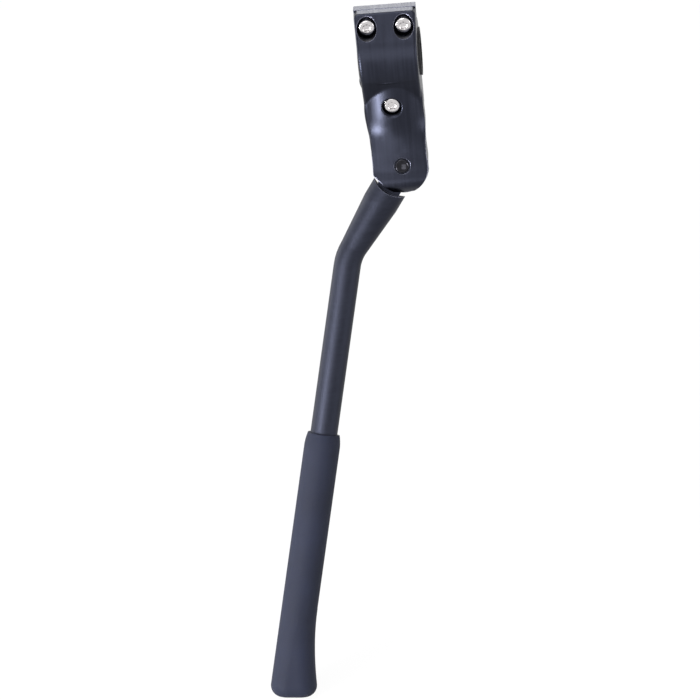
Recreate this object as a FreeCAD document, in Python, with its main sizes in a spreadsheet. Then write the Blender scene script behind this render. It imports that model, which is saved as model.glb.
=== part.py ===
"""Bicycle kickstand: a clamp for the chainstay, a hinge housing and a folding leg with a foot.

The origin is the centre of the clamped tube. +X runs along the tube towards the rear wheel,
-Y points outward from the bicycle and +Z up. Sizes are millimetres and degrees.
"""
import FreeCAD, Part
import math
import os
import re

import Sketcher

Vector = FreeCAD.Vector
Rotation = FreeCAD.Rotation
Placement = FreeCAD.Placement

SIZES = [
    ("tube_radius", 11.0, "chainstay that the liners take"),
    ("liner_wall", 2.2, "rubber liner"),
    ("liner_length", 34.4, "liner along the tube"),
    ("liner_shift", 0.7, "liner's middle, rearward"),
    ("parting_gap", 0.6, "between bracket and jaw"),
    ("bracket_width", 34.2, "clamp along the tube, at its top"),
    ("front_lean", 1.5, "forward flank, closing in downward"),
    ("rear_lean", 0.1, "rearward flank, closing in downward"),
    ("flank_draft", 1.9, "both flanks, closing in outward"),
    ("bracket_top", 26.7, "top edge above the tube's axis"),
    ("corner_radius", 2.8, "top corners of the bracket"),
    ("edge_radius", 1.6, "rounding of the clamp's outer edges"),
    ("jaw_edge", 0.8, "rounding of the jaw's rear edges"),
    ("arch_radius", 21.4, "arch over the tube"),
    ("ramp_angle", 39.85, "slope of the upper face"),
    ("chin_angle", 25.0, "slope of the face under the arch"),
    ("barrel_face", 18.6, "crown of the barrel, outward"),
    ("barrel_curve", 22.8, "radius across the barrel"),
    ("barrel_bottom", 33.0, "where the barrel turns to the hinge"),
    ("jaw_wall", 5.6, "thickness of the rear jaw"),
    ("jaw_width", 34.0, "rear jaw along the tube, at its top"),
    ("jaw_bottom", 32.0, "lower edge of the jaw under the axis"),
    ("screw_radius", 2.5, "M5 clamp screws"),
    ("screw_head_radius", 4.25, "socket head"),
    ("screw_head_height", 5.0, "socket head"),
    ("socket_flats", 4.0, "hexagon across flats"),
    ("socket_depth", 2.5, "hexagon depth"),
    ("screw_clearance", 0.25, "radial, in the bracket"),
    ("thread_clearance", 0.04, "radial, in a tapped hole"),
    ("counterbore_radius", 5.5, "pocket round each head"),
    ("upper_screw_spacing", 20.0, "between the upper screws"),
    ("upper_screw_rise", 20.0, "above the tube's axis"),
    ("upper_seat", 4.8, "under the upper heads, outward"),
    ("upper_screw_length", 10.0, "under the head"),
    ("lower_screw_drop", 24.8, "under the tube's axis"),
    ("lower_seat", 10.1, "under the lower head, outward"),
    ("lower_screw_length", 16.0, "under the head"),
    ("pivot_across", 2.9, "pivot centre, rearward"),
    ("pivot_out", 16.6, "pivot centre, outward"),
    ("pivot_drop", 60.2, "pivot centre, under the tube's axis"),
    ("splay_angle", 22.0, "lean of the leg's plane"),
    ("housing_radius", 14.0, "round end of the housing"),
    ("housing_flank", 16.2, "pivot to the housing's forward flank"),
    ("end_drop", 1.3, "centre of the round end under the pivot"),
    ("flank_end", 4.2, "flank's end under the pivot"),
    ("housing_depth", 18.3, "housing along the pivot"),
    ("leg_tongue", 9.0, "tongue of the leg along the pivot"),
    ("tongue_clearance", 0.15, "each side of the tongue"),
    ("tongue_radius", 12.5, "round head of the tongue"),
    ("pocket_clearance", 0.4, "round the head of the tongue"),
    ("neck_half_width", 6.8, "neck of the tongue"),
    ("stop_clearance", 0.12, "neck to each stop"),
    ("pin_radius", 3.0, "pivot pin"),
    ("pin_head_radius", 3.8, "pivot pin's head"),
    ("pin_head_rim", 0.6, "rounding of the head's rim"),
    ("pin_head_height", 2.0, "pivot pin's head"),
    ("pin_clearance", 0.05, "radial, pin in its bush"),
    ("bush_wall", 1.2, "pivot bush"),
    ("ring_radius", 4.6, "retaining ring"),
    ("ring_wall", 0.9, "retaining ring along the pin"),
    ("ring_floor", 1.8, "depth of the ring's recess"),
    ("head_clearance", 0.65, "round the pin's head"),
    ("ring_clearance", 0.3, "round the retaining ring"),
    ("shoulder_radius", 17.2, "shoulder of the leg, about the pivot"),
    ("leg_top_radius", 9.9, "leg at the shoulder"),
    ("taper_start", 24.0, "pivot to where the leg begins to taper"),
    ("leg_radius", 7.5, "leg from the knee down"),
    ("leg_angle", 35.1, "upper leg, forward of straight down"),
    ("foot_angle", 12.3, "lower leg, forward of straight down"),
    ("fold_angle", 104.0, "leg from parked to stowed"),
    ("knee_distance", 58.3, "pivot to knee"),
    ("knee_curve", 26.0, "bend radius of the knee"),
    ("lower_leg", 190.0, "knee to the leg's hidden end"),
    ("sleeve_start", 99.0, "knee to the sleeve's rim"),
    ("sleeve_radius", 9.9, "foot sleeve"),
    ("sleeve_rim_radius", 8.85, "foot sleeve at its rim"),
    ("sleeve_crown", 7.7, "rim to the full radius"),
    ("sleeve_length", 148.0, "rim to sole"),
    ("sleeve_bore_depth", 117.0, "rim to the bore's end"),
    ("sleeve_clearance", 0.08, "radial, leg in the sleeve"),
    ("sole_angle", 8.0, "sole to the sleeve's cross-section"),
    ("sole_radius", 6.5, "rounding of the sole"),
    ("toe_start", 97.0, "rim to where the toe begins"),
    ("toe_reach", 7.6, "toe past the sleeve"),
    ("foot_travel_in", 20.0, "shortest setting from the one shown"),
    ("foot_travel_out", 35.0, "longest setting from the one shown"),
    ("plunger_radius", 3.0, "detent plunger"),
    ("plunger_length", 7.5, "detent plunger"),
    ("plunger_travel", 1.2, "detent plunger into a notch"),
    ("plunger_clearance", 0.05, "radial, and off the tongue"),
    ("detent_bore_end", 29.0, "from the pivot's centre"),
    ("spring_wire", 0.8, "detent spring"),
    ("spring_turns", 4.0, "detent spring"),
    ("lock_screw_radius", 2.5, "foot lock screw"),
    ("lock_screw_drop", 15.0, "rim to the lock screw"),
    ("lock_boss_radius", 6.0, "boss for the lock screw"),
    ("lock_boss_height", 3.4, "boss past the sleeve"),
    ("insert_radius", 3.6, "threaded insert"),
    ("groove_depth", 1.0, "groove in the leg for the lock screw"),
    ("groove_width", 5.6, "groove in the leg for the lock screw"),
    ("tip_clearance", 0.05, "lock screw's tip to the groove"),
]
NAMES = [name for name, number, note in SIZES]

doc = FreeCAD.newDocument("bicycle_kickstand")
sheet = doc.addObject("Spreadsheet::Sheet", "Sizes")
for row, (name, number, note) in enumerate(SIZES, start=1):
    sheet.set(f"A{row}", name)
    sheet.set(f"B{row}", str(number))
    sheet.set(f"C{row}", note)
    sheet.setAlias(f"B{row}", name)
doc.recompute()


working = doc.addObject("App::VarSet", "Working")
working.addProperty("App::PropertyFloat", "Result")


def formula(text):
    """The same formula with each size read from the sheet."""
    return re.sub(r"[a-z_]+", lambda word: "Sizes." * (word[0] in NAMES) + word[0], str(text))


def value(text):
    """What a formula of the sheet's sizes comes to."""
    working.setExpression("Result", formula(text))
    working.recompute()
    return working.Result


def bind(item, name, text):
    """Tie a property of a feature to the sheet."""
    item.setExpression(name, formula(text))


def origin_plane(body, role):
    return [item for item in body.Origin.OriginFeatures if item.Role == role][0]


def new_body(label, place=None):
    """An empty sub-part, standing in a frame of its own."""
    body = doc.addObject("PartDesign::Body", label)
    body.Label = label
    body.Placement = place or Placement()
    return body


def add(body, kind, name, place=None, **sizes):
    """A primitive that adds to the body or cuts it, placed in the body's frame."""
    item = body.newObject("PartDesign::" + kind, name)
    item.AttachmentSupport = [(origin_plane(body, "XY_Plane"), "")]
    item.MapMode = "FlatFace"
    item.AttachmentOffset = place or Placement()
    for size_name, text in sizes.items():
        bind(item, size_name, text)
    doc.recompute()
    return item


def sketch(body, name, place):
    """A sketch whose own axes are those of a frame inside the body."""
    item = body.newObject("Sketcher::SketchObject", name)
    item.AttachmentSupport = [(origin_plane(body, "XY_Plane"), "")]
    item.MapMode = "FlatFace"
    item.AttachmentOffset = place
    return item


def pin_point(item, geometry, end, across, up):
    """Hold a point of a sketch at a place that the sheet gives."""
    for kind, text in (("DistanceX", across), ("DistanceY", up)):
        index = item.addConstraint(Sketcher.Constraint(kind, -1, 1, geometry, end, value(text)))
        bind(item, f"Constraints[{index}]", text)


def arc_between(start, end, radius, side):
    """An arc from start to end, its centre on the left of the way for side 1. It is always drawn
    counter-clockwise, so for side -1 it runs from end to start."""
    chord = end - start
    reach = math.sqrt(radius ** 2 - (chord.Length / 2) ** 2)
    left = Vector(-chord.y, chord.x, 0).normalize()
    centre = (start + end) / 2 + left * reach * side
    crest = centre - left * radius * side
    if side < 0:
        start, end = end, start
    return Part.Arc(start, crest, end)


def outline(item, points):
    """A closed outline. Each point is (across, up) or (across, up, radius, side), where radius
    and side bend the edge that leaves it into an arc."""
    places = [Vector(value(point[0]), value(point[1]), 0) for point in points]
    edges = []
    for index, point in enumerate(points):
        start = places[index]
        end = places[(index + 1) % len(points)]
        if len(point) == 2:
            edges.append(item.addGeometry(Part.LineSegment(start, end), False))
            continue
        curve = arc_between(start, end, value(point[2]), point[3])
        edge = item.addGeometry(curve, False)
        edges.append(edge)
        bound = item.addConstraint(Sketcher.Constraint("Radius", edge, value(point[2])))
        bind(item, f"Constraints[{bound}]", point[2])
    ends = []
    for index, edge in enumerate(edges):
        shape = item.Geometry[edge]
        forward = (shape.StartPoint - places[index]).Length < (shape.EndPoint - places[index]).Length
        ends.append((1, 2) if forward else (2, 1))
    for index, edge in enumerate(edges):
        following = (index + 1) % len(edges)
        joint = (edge, ends[index][1], edges[following], ends[following][0])
        item.addConstraint(Sketcher.Constraint("Coincident", *joint))
        pin_point(item, edge, ends[index][0], points[index][0], points[index][1])
    doc.recompute()
    return item


def circle(item, across, up, radius):
    """A circle in a sketch."""
    edge = item.addGeometry(Part.Circle(Vector(value(across), value(up), 0), Vector(0, 0, 1), value(radius)))
    bound = item.addConstraint(Sketcher.Constraint("Radius", edge, value(radius)))
    bind(item, f"Constraints[{bound}]", radius)
    pin_point(item, edge, 3, across, up)
    doc.recompute()
    return item


def pad(body, name, profile, length):
    """Material on both sides of a sketch."""
    item = body.newObject("PartDesign::Pad", name)
    item.Profile = profile
    item.SideType = "Symmetric"
    bind(item, "Length", length)
    doc.recompute()
    return item


def pocket(body, name, profile, length):
    """A cut on both sides of a sketch."""
    item = body.newObject("PartDesign::Pocket", name)
    item.Profile = profile
    item.SideType = "Symmetric"
    bind(item, "Length", length)
    doc.recompute()
    return item


def revolve(body, name, profile):
    """A solid of revolution about the upright axis of its sketch."""
    item = body.newObject("PartDesign::Revolution", name)
    item.Profile = profile
    item.ReferenceAxis = (profile, ["V_Axis"])
    item.Angle = 360
    doc.recompute()
    return item


def round_edges(body, name, radius, wanted):
    """A fillet on the edges of the body's present shape that the test picks."""
    base = body.Tip
    names = [f"Edge{index}" for index, edge in enumerate(base.Shape.Edges, start=1) if wanted(edge)]
    item = body.newObject("PartDesign::Fillet", name)
    item.Base = (base, names)
    bind(item, "Radius", radius)
    doc.recompute()
    return item


def middle(edge):
    """The point half-way along an edge."""
    first, last = edge.ParameterRange
    return edge.valueAt((first + last) / 2)


FRONT = Rotation(Vector(1, 0, 0), 90)
SIDE = Rotation(Vector(0, -1, 0), Vector(0, 0, 1), Vector(-1, 0, 0), "XYZ")
LEVEL = Rotation(Vector(1, 0, 0), 180)
LEG_PLANE = Rotation(Vector(1, 0, 0), 90 - value("splay_angle"))
PIVOT = Placement(
    Vector(value("pivot_across"), -value("pivot_out"), -value("pivot_drop")), LEG_PLANE
)
BLOCK = 90


def down_leg(angle):
    """In the leg's plane: x points rearward, y outward and z down the leg."""
    turn = math.radians(angle)
    down = Vector(-math.sin(turn), -math.cos(turn), 0)
    outward = Vector(0, 0, 1)
    return Rotation(outward.cross(down), outward, down, "XYZ")


UPPER_LEG = down_leg(value("leg_angle"))
LOWER_LEG = down_leg(value("foot_angle"))
KNEE = UPPER_LEG.multVec(Vector(0, 0, value("knee_distance")))


def below_knee(distance):
    """A frame on the lower leg's axis, in the leg's plane."""
    return Placement(KNEE + LOWER_LEG.multVec(Vector(0, 0, distance)), LOWER_LEG)


def outward_at(across, height, out):
    """A frame whose z points outward from the bicycle."""
    return Placement(Vector(across, -out, height), FRONT)


def along(distance):
    """A step along a frame's own z."""
    return Placement(Vector(0, 0, distance), Rotation())


UPPER_SCREWS = [
    outward_at(value(f"{side} * upper_screw_spacing / 2"),
               value("upper_screw_rise"), value("upper_seat"))
    for side in (-1, 1)
]
LOWER_SCREW = outward_at(0, -value("lower_screw_drop"), value("lower_seat"))
DETENT = PIVOT * Placement(Vector(), Rotation(Vector(1, 0, 0), -90))
SLEEVE = PIVOT * below_knee(value("sleeve_start"))
LOCK = Placement(Vector(0, 0, value("lock_screw_drop")), FRONT)


def slant_flanks(body, width, draft):
    """Plane off both flanks so that they close in downward, and outward by the draft."""
    for side, name in ((-1, "front_lean"), (1, "rear_lean")):
        lean = Rotation(Vector(0, 1, 0), side * value(name))
        turn = Rotation(Vector(0, 0, 1), -side * draft)
        corner = Placement(Vector((side - 1) / 2 * BLOCK, -BLOCK / 2, -BLOCK), Rotation())
        plane = Placement(Vector(side * value(width) / 2, 0, value("bracket_top")), lean * turn)
        add(body, "SubtractiveBox", name + "_cut", plane * corner, Length=BLOCK, Width=BLOCK, Height=2 * BLOCK)


def make_bracket():
    """Front half of the clamp with the barrel and the forked hinge housing, one forging."""
    body = new_body("bracket")
    back = "parting_gap / 2"
    chin_out = "arch_radius * cos(chin_angle)"
    chin_drop = "arch_radius * sin(chin_angle)"
    flank = sketch(body, "clamp_flank", Placement(Vector(), SIDE))
    outline(flank, [
        (back, "bracket_top"),
        (back, "-barrel_bottom"),
        (f"{chin_out} - (barrel_bottom - {chin_drop}) * tan(chin_angle)", "-barrel_bottom"),
        (chin_out, f"-{chin_drop}", "arch_radius", 1),
        ("arch_radius * cos(ramp_angle)", "arch_radius * sin(ramp_angle)"),
        ("arch_radius / cos(ramp_angle) - bracket_top * tan(ramp_angle)", "bracket_top"),
    ])
    pad(body, "clamp_block", flank, "bracket_width")
    half = value("bracket_width") / 2
    top = value("bracket_top")
    low = -value("barrel_bottom")
    slant_flanks(body, "bracket_width", value("flank_draft"))
    inner = 0.9 * half
    round_edges(body, "top_corners", "corner_radius", lambda edge: (
        abs(middle(edge).z - top) < 0.01 and abs(middle(edge).x) > inner))
    round_edges(body, "flank_edges", "edge_radius", lambda edge: (
        middle(edge).y < -value(back) - 0.1 and middle(edge).z > low + 0.1
        and edge.BoundBox.XLength < half / 2 and abs(middle(edge).x) > half / 2))

    crown_at = "pivot_out + (housing_depth / 2 - (pivot_drop - {drop}) * sin(splay_angle)) / cos(splay_angle)"
    left = "(pivot_across - housing_flank)"
    right = "(pivot_across + housing_radius)"
    flank_at = "(bracket_width / 2 - (bracket_top + {drop}) * tan({lean}) - {inset})"
    sections = []
    for drop, sunk, front_inset, rear_inset in (
        ("8", 1.7, 0.7, 0.7), ("16.5", 0.5, 0.7, 0.5),
        ("lower_screw_drop", 0, 0.4, 0.15), ("barrel_bottom", 0, 0.1, 0),
    ):
        start = "-" + flank_at.format(drop=drop, lean="front_lean", inset=front_inset)
        end = flank_at.format(drop=drop, lean="rear_lean", inset=rear_inset)
        sections.append((drop, start, end, f"barrel_face - {sunk}", "barrel_curve"))
    for drop, out_left, waist, flatter in (
        ("(barrel_bottom + 8)", 1, -0.1, 1.6), ("(barrel_bottom + 13)", 0.4, 0.3, 2.6),
        ("(pivot_drop - 7)", 0, 0.3, 4), ("pivot_drop", 0, 0, 5),
        ("(pivot_drop + 7)", 0, 0, 5), ("(pivot_drop + 20)", 0, 0, 5),
    ):
        crown = crown_at.format(drop=drop)
        sections.append((drop, f"{left} - {out_left}", f"{right} - {waist}", crown, f"barrel_curve * {flatter}"))
    profiles = []
    for index, (drop, start, end, crown, curve) in enumerate(sections):
        edge = f"({crown}) - ({curve}) + sqrt(({curve}) ^ 2 - (({end}) - ({start})) ^ 2 / 4)"
        level = Placement(Vector(0, 0, -value(drop)), LEVEL)
        profile = sketch(body, f"barrel_section_{index}", level)
        profiles.append(outline(profile, [
            (start, back),
            (end, back),
            (end, edge, curve, 1),
            (start, edge),
        ]))
    barrel = body.newObject("PartDesign::AdditiveLoft", "barrel_and_housing")
    barrel.Profile = profiles[0]
    barrel.Sections = profiles[1:]
    doc.recompute()

    depth = value("housing_depth") / 2
    behind = Placement(Vector(-BLOCK / 2, -BLOCK / 2, -BLOCK - depth), Rotation())
    add(body, "SubtractiveBox", "housing_back", PIVOT * behind, Length=BLOCK, Width=BLOCK, Height=BLOCK)
    end = sketch(body, "housing_end", PIVOT)
    outline(end, [
        ("-housing_flank", "-flank_end"),
        ("-housing_radius * cos(35)", "-end_drop - housing_radius * sin(35)", "housing_radius", 1),
        ("0", "-end_drop - housing_radius", "housing_radius", 1),
        ("housing_radius", "-end_drop"),
        ("3 * housing_radius", "-end_drop"),
        ("3 * housing_radius", "-3 * housing_radius"),
        ("-3 * housing_radius", "-3 * housing_radius"),
        ("-3 * housing_radius", "-flank_end"),
    ])
    pocket(body, "round_end", end, BLOCK)
    cradle = sketch(body, "cradle_circle", Placement(Vector(), SIDE))
    circle(cradle, "0", "0", "tube_radius + liner_wall")
    pocket(body, "cradle", cradle, BLOCK)
    for index, seat in enumerate(UPPER_SCREWS + [LOWER_SCREW]):
        add(body, "SubtractiveCylinder", f"counterbore_{index}", seat,
            Radius="counterbore_radius", Height=BLOCK)
        add(body, "SubtractiveCylinder", f"screw_hole_{index}", seat * along(-BLOCK),
            Radius="screw_radius + screw_clearance", Height=BLOCK)
    slot = sketch(body, "tongue_slot_outline", PIVOT)
    reach = "neck_half_width + stop_clearance"
    pocket_radius = "(tongue_radius + pocket_clearance)"
    way = f"sqrt({pocket_radius} ^ 2 - ({reach}) ^ 2)"
    parked = ("sin(leg_angle)", "cos(leg_angle)")
    stowed = ("sin(fold_angle - leg_angle)", "cos(fold_angle - leg_angle)")
    far = "3 * housing_radius"

    def stop_point(direction, side, distance):
        """A point on a stop: along the leg by a distance and off its axis by the neck."""
        across = f"{side} * (({distance}) * {direction[0]} + ({reach}) * {direction[1]})"
        up = f"({reach}) * {direction[0]} - ({distance}) * {direction[1]}"
        return across, up

    outline(slot, [
        (*stop_point(parked, -1, way), pocket_radius, -1),
        (f"-{pocket_radius} * sin(45)", f"{pocket_radius} * cos(45)", pocket_radius, -1),
        (f"{pocket_radius} * sin(45)", f"{pocket_radius} * cos(45)", pocket_radius, -1),
        stop_point(stowed, 1, way),
        stop_point(stowed, 1, far),
        (far, f"-{far}"),
        (f"-{far}", f"-{far}"),
        stop_point(parked, -1, far),
    ])
    pocket(body, "tongue_slot", slot, "leg_tongue + 2 * tongue_clearance")
    add(body, "SubtractiveCylinder", "pin_bore", PIVOT * along(-BLOCK / 2),
        Radius="pin_radius + pin_clearance", Height=BLOCK)
    add(body, "SubtractiveCylinder", "pin_head_seat", PIVOT * along(depth - value("pin_head_height")),
        Radius="pin_head_radius + head_clearance", Height=BLOCK)
    add(body, "SubtractiveCylinder", "ring_recess", PIVOT * along(-BLOCK + value("ring_floor") - depth),
        Radius="ring_radius + ring_clearance", Height=BLOCK)
    add(body, "SubtractiveCylinder", "detent_bore", DETENT,
        Radius="plunger_radius + plunger_clearance", Height="detent_bore_end")
    return body


def make_clamp_jaw():
    """Rear half of the clamp: two flanges and an arch behind the tube."""
    body = new_body("clamp_jaw")
    front = "-parting_gap / 2"
    rear = "-jaw_wall - parting_gap / 2"
    cradle = "(tube_radius + liner_wall)"
    arch = "(tube_radius + liner_wall + jaw_wall)"
    cradle_rise = f"sqrt({cradle} ^ 2 - ({front}) ^ 2)"
    arch_rise = f"sqrt({arch} ^ 2 - ({rear}) ^ 2)"
    flank = sketch(body, "jaw_flank", Placement(Vector(), SIDE))
    outline(flank, [
        (front, "bracket_top"),
        (rear, "bracket_top"),
        (rear, arch_rise, arch, 1),
        (f"-{arch}", "0", arch, 1),
        (rear, f"-{arch_rise}"),
        (rear, "-jaw_bottom"),
        (front, "-jaw_bottom"),
        (front, f"-{cradle_rise}", cradle, -1),
        (f"-{cradle}", "0", cradle, -1),
        (front, cradle_rise),
    ])
    pad(body, "jaw", flank, "jaw_width")
    slant_flanks(body, "jaw_width", 0)
    for index, seat in enumerate(UPPER_SCREWS + [LOWER_SCREW]):
        add(body, "SubtractiveCylinder", f"tapped_hole_{index}", seat * along(-BLOCK / 2),
            Radius="screw_radius + thread_clearance", Height=BLOCK)
    outer = -value(rear)
    round_edges(body, "rear_edges", "jaw_edge", lambda edge: (
        middle(edge).y > outer - 0.01 and abs(middle(edge).x) > value("0.4 * jaw_width")))
    return body


def make_liner(label, side):
    """Half ring of rubber between the tube and one half of the clamp."""
    body = new_body(label)
    inner = "tube_radius"
    outer = "(tube_radius + liner_wall)"
    edge = f"{side} * parting_gap / 2"
    flank = sketch(body, label + "_flank", Placement(Vector(), SIDE))
    outline(flank, [
        (edge, f"sqrt({outer} ^ 2 - ({edge}) ^ 2)", outer, -side),
        (f"{side} * {outer}", "0", outer, -side),
        (edge, f"-sqrt({outer} ^ 2 - ({edge}) ^ 2)"),
        (edge, f"-sqrt({inner} ^ 2 - ({edge}) ^ 2)", inner, side),
        (f"{side} * {inner}", "0", inner, side),
        (edge, f"sqrt({inner} ^ 2 - ({edge}) ^ 2)"),
    ])
    pad(body, label + "_ring", flank, "liner_length")
    body.Placement = Placement(Vector(value("liner_shift"), 0, 0), Rotation())
    return body


def make_screw(label, seat, length):
    """Socket head screw, its frame's z pointing out of the head from the seat."""
    body = new_body(label, seat)
    add(body, "AdditiveCylinder", label + "_head", Radius="screw_head_radius", Height="screw_head_height")
    add(body, "AdditiveCylinder", label + "_shank", along(-value(length)),
        Radius="screw_radius", Height=length)
    add(body, "SubtractivePrism", label + "_socket", along(value("screw_head_height - socket_depth")),
        Circumradius="socket_flats / sqrt(3)", Height=BLOCK)
    top = value("screw_head_height")
    round_edges(body, label + "_crown", "0.5", lambda edge: (
        abs(middle(edge).z - top) < 0.01 and len(edge.Vertexes) == 1))
    return body


def make_upper_screws():
    """The two upper clamp screws, one group."""
    group = doc.addObject("Part::Compound", "upper_clamp_screws")
    group.Links = [
        make_screw(f"upper_screw_{index}", seat, "upper_screw_length")
        for index, seat in enumerate(UPPER_SCREWS)
    ]
    doc.recompute()
    return group


def make_pivot_pin():
    """Turned pin with a dished head and a groove for its retaining ring."""
    body = new_body("pivot_pin", PIVOT)
    half = "(housing_depth / 2)"
    profile = sketch(body, "pin_profile", Placement(Vector(), FRONT))
    seat = f"{half} - pin_head_height"
    groove = f"ring_floor - {half} - ring_wall - 0.1"
    rim = f"({half} - 0.2)"
    dish = "(2.4 * pin_head_radius)"
    outline(profile, [
        ("0", f"0.1 - {half}"),
        ("pin_radius - 0.4", f"0.1 - {half}"),
        ("pin_radius", f"0.4 - {half}"),
        ("pin_radius", groove),
        ("pin_radius - 0.6", groove),
        ("pin_radius - 0.6", f"ring_floor - {half}"),
        ("pin_radius", f"ring_floor - {half}"),
        ("pin_radius", seat),
        ("pin_head_radius", seat),
        ("pin_head_radius", f"{rim} - pin_head_rim", "pin_head_rim", 1),
        ("pin_head_radius - pin_head_rim", rim, dish, -1),
        ("0", f"{rim} - {dish} + sqrt({dish} ^ 2 - (pin_head_radius - pin_head_rim) ^ 2)"),
    ])
    revolve(body, "pin", profile)
    return body


def make_retaining_ring():
    """Split ring in the pin's groove, in its recess in the housing's back."""
    body = new_body("pin_retaining_ring", PIVOT * along(value("ring_floor - housing_depth / 2 - ring_wall")))
    add(body, "AdditiveCylinder", "ring_disc", Radius="ring_radius", Height="ring_wall")
    add(body, "SubtractiveCylinder", "ring_hole", along(-1), Radius="pin_radius - 0.6", Height=BLOCK)
    gap = Placement(Vector(-value("pin_radius - 0.8"), 0, -1), Rotation())
    add(body, "SubtractiveBox", "ring_gap", gap, Length="2 * pin_radius - 1.6", Width=BLOCK, Height=BLOCK)
    return body


def make_pivot_bush():
    """Plain bush pressed in the tongue of the leg."""
    body = new_body("pivot_bush", PIVOT * along(-value("leg_tongue / 2")))
    add(body, "AdditiveCylinder", "bush_wall", Radius="pin_radius + pin_clearance + bush_wall",
        Height="leg_tongue")
    add(body, "SubtractiveCylinder", "bush_bore", along(-1), Radius="pin_radius + pin_clearance", Height=BLOCK)
    return body


def make_leg():
    """Bent bar with a flat tongue for the hinge and a shoulder that clears the housing."""
    body = new_body("leg", PIVOT)
    turn = "(leg_angle - foot_angle)"
    tangent = value(f"knee_curve * tan({turn} / 2)")
    upper = Placement(Vector(), UPPER_LEG)
    add(body, "AdditiveCylinder", "upper_bar", upper * along(value("tongue_radius")),
        Radius="leg_top_radius", Height="taper_start - tongue_radius")
    add(body, "AdditiveCone", "taper", upper * along(value("taper_start")),
        Radius1="leg_top_radius", Radius2="leg_radius",
        Height=f"knee_distance - taper_start - knee_curve * tan({turn} / 2)")
    add(body, "AdditiveTorus", "knee", Placement(
        upper.multVec(Vector(value("knee_curve"), 0, value("knee_distance") - tangent)),
        UPPER_LEG * Rotation(Vector(-1, 0, 0), Vector(0, 0, 1), Vector(0, 1, 0), "XYZ")),
        Radius1="knee_curve", Radius2="leg_radius", Angle3=turn)
    add(body, "AdditiveCylinder", "lower_bar", below_knee(tangent),
        Radius="leg_radius", Height=f"lower_leg - knee_curve * tan({turn} / 2)")
    add(body, "SubtractiveCylinder", "shoulder", along(-BLOCK / 2), Radius="shoulder_radius", Height=BLOCK)
    low = -value("leg_tongue") / 2
    add(body, "AdditiveCylinder", "tongue_disc", along(low), Radius="tongue_radius", Height="leg_tongue")
    neck = Placement(Vector(-value("neck_half_width"), low, 0), Rotation())
    add(body, "AdditiveBox", "tongue_neck", upper * neck,
        Length="2 * neck_half_width", Width="leg_tongue", Height="shoulder_radius + 2")
    add(body, "SubtractiveCylinder", "bush_seat", along(-BLOCK / 2),
        Radius="pin_radius + pin_clearance + bush_wall", Height=BLOCK)
    off = value("tongue_radius + plunger_clearance - plunger_travel + plunger_radius")
    for index in range(2):
        turned = math.radians(index * value("fold_angle"))
        notch = Vector(off * math.sin(turned), off * math.cos(turned), -BLOCK / 2)
        add(body, "SubtractiveCylinder", f"notch_{index}", Placement(notch, Rotation()),
            Radius="plunger_radius + 3 * plunger_clearance", Height=BLOCK)
    first = value("sleeve_start + lock_screw_drop - foot_travel_in - groove_width")
    groove = Placement(
        Vector(-value("groove_width") / 2, -BLOCK - value("leg_radius - groove_depth"), first), Rotation())
    add(body, "SubtractiveBox", "lock_groove", below_knee(0) * groove, Length="groove_width",
        Width=BLOCK, Height="foot_travel_in + foot_travel_out + 2 * groove_width")
    return body


def make_detent_plunger():
    """Round-nosed plunger that drops in a notch of the tongue."""
    tip = value("tongue_radius + plunger_clearance")
    body = new_body("detent_plunger", DETENT * along(tip))
    add(body, "AdditiveCylinder", "plunger_shank", along(value("plunger_radius")),
        Radius="plunger_radius", Height="plunger_length - plunger_radius")
    add(body, "AdditiveSphere", "plunger_nose", along(value("plunger_radius")), Radius="plunger_radius")
    return body


def make_detent_spring():
    """Compression spring between the plunger and the bore's end."""
    start = "(tongue_radius + plunger_clearance + plunger_length + spring_wire / 2 + 0.05)"
    body = new_body("detent_spring", DETENT * along(value(start)))
    wire = sketch(body, "spring_wire_section", Placement(Vector(), FRONT))
    circle(wire, "plunger_radius - spring_wire / 2 - 0.2", "0", "spring_wire / 2")
    coil = body.newObject("PartDesign::AdditiveHelix", "coil")
    coil.Profile = wire
    coil.ReferenceAxis = (wire, ["V_Axis"])
    coil.Mode = "height-turns-angle"
    bind(coil, "Height", f"detent_bore_end - {start} - spring_wire / 2 - 0.05")
    bind(coil, "Turns", "spring_turns")
    doc.recompute()
    return body


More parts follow.
